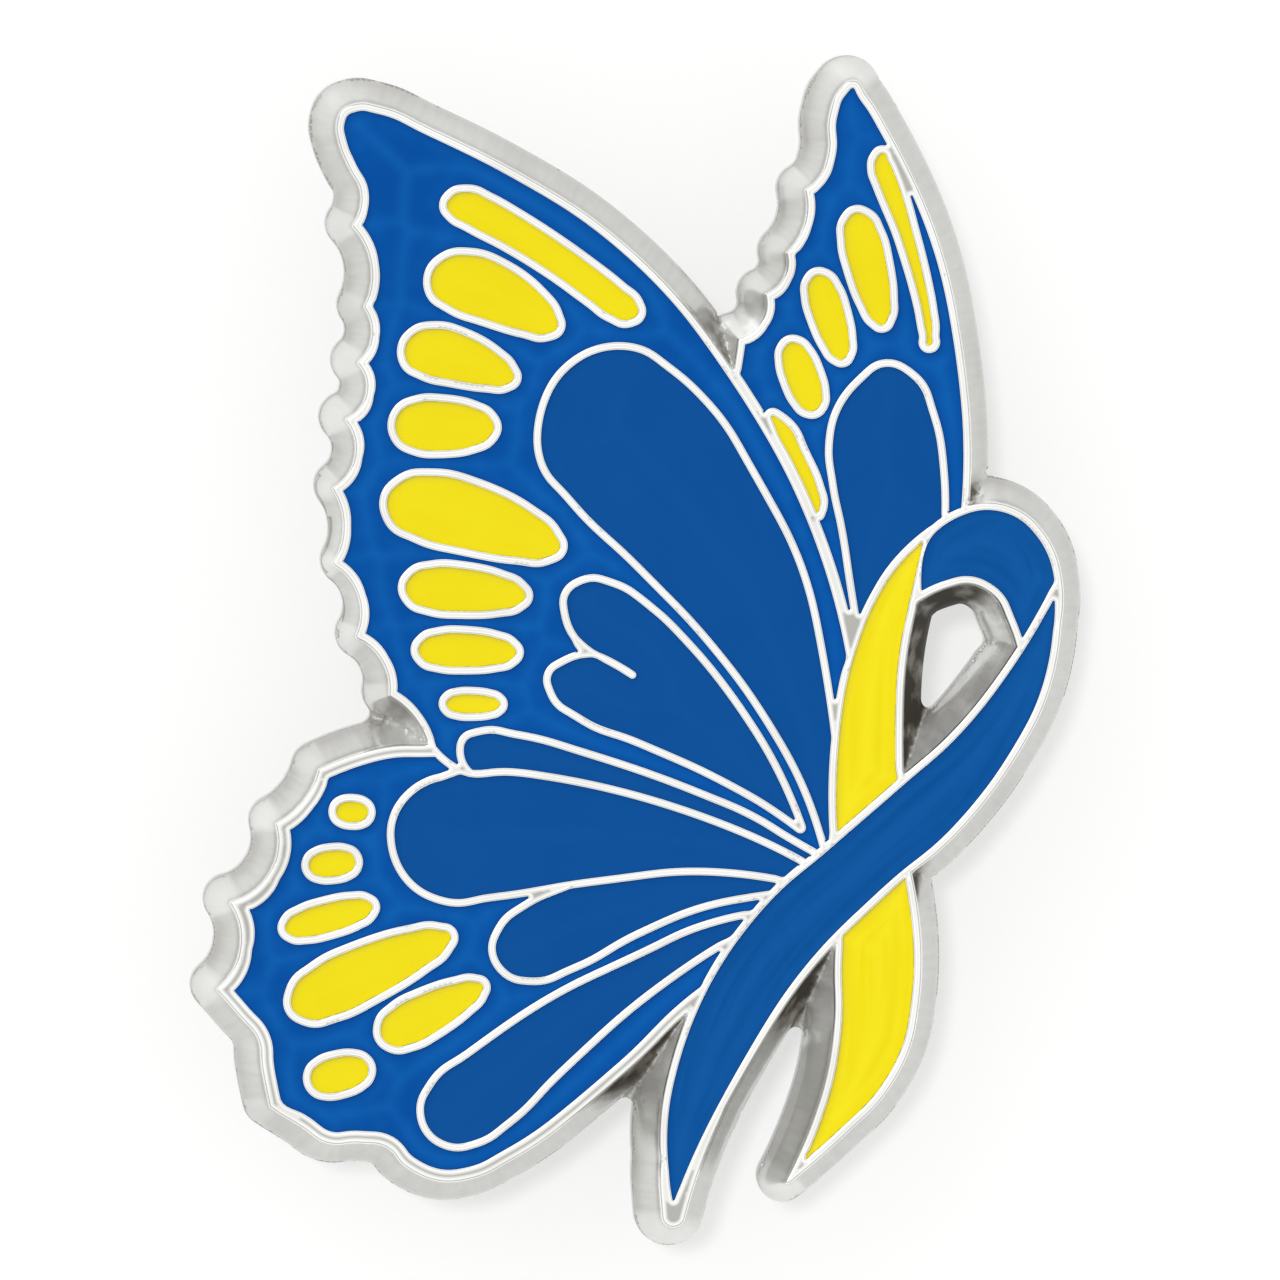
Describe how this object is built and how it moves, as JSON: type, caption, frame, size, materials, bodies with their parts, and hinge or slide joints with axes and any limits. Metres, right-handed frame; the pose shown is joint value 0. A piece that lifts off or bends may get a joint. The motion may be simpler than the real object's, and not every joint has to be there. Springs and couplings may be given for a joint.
{
  "type": "awareness ribbon pin",
  "caption": "Enamelled lapel pin: a butterfly in profile whose body is a looped awareness ribbon, in blue and yellow on bright cast metal, with a post and clutch behind.",
  "frame": {"origin": "centre of the bounding box in X and Y, on the plane under the clutch's flat foot", "axes": "+Z out of the pin's face, +Y towards the tips of the wings, +X to the right of the face, the ribbon's side"},
  "size_m": [0.024, 0.032, 0.0088],
  "materials": {
    "plated_metal": "bright nickel plate over a cast body",
    "clutch_metal": "plain nickel plate",
    "wing_blue_enamel": "glossy soft enamel",
    "cell_blue_enamel": "glossy soft enamel, a little deeper",
    "spot_yellow_enamel": "glossy soft enamel",
    "ribbon_yellow_enamel": "glossy soft enamel with soft lengthwise streaks",
    "ribbon_blue_enamel": "glossy soft enamel with soft lengthwise streaks"
  },
  "bodies": {
    "root": {"plate": "plated_metal", "pin_back": "clutch_metal", "forewing_field": "wing_blue_enamel", "forewing_teardrop": "cell_blue_enamel", "forewing_hook_cell": "cell_blue_enamel", "forewing_strip_cell": "cell_blue_enamel", "forewing_spot_1": "spot_yellow_enamel", "forewing_spot_2": "spot_yellow_enamel", "forewing_spot_3": "spot_yellow_enamel", "forewing_spot_4": "spot_yellow_enamel", "forewing_spot_5": "spot_yellow_enamel", "forewing_spot_6": "spot_yellow_enamel", "forewing_spot_7": "spot_yellow_enamel", "forewing_spot_8": "spot_yellow_enamel", "hindwing_field": "wing_blue_enamel", "hindwing_cell_1": "cell_blue_enamel", "hindwing_cell_2": "cell_blue_enamel", "hindwing_cell_3": "cell_blue_enamel", "hindwing_spot_1": "spot_yellow_enamel", "hindwing_spot_2": "spot_yellow_enamel", "hindwing_spot_3": "spot_yellow_enamel", "hindwing_spot_4": "spot_yellow_enamel", "hindwing_spot_5": "spot_yellow_enamel", "hindwing_spot_6": "spot_yellow_enamel", "far_wing_field": "wing_blue_enamel", "far_wing_teardrop": "cell_blue_enamel", "far_wing_spot_1": "spot_yellow_enamel", "far_wing_spot_2": "spot_yellow_enamel", "far_wing_spot_3": "spot_yellow_enamel", "far_wing_spot_4": "spot_yellow_enamel", "far_wing_spot_5": "spot_yellow_enamel", "ribbon_yellow_leg": "ribbon_yellow_enamel", "ribbon_blue_loop": "ribbon_blue_enamel", "ribbon_blue_band": "ribbon_blue_enamel", "ribbon_yellow_tail": "ribbon_yellow_enamel"}
  },
  "joints": []
}
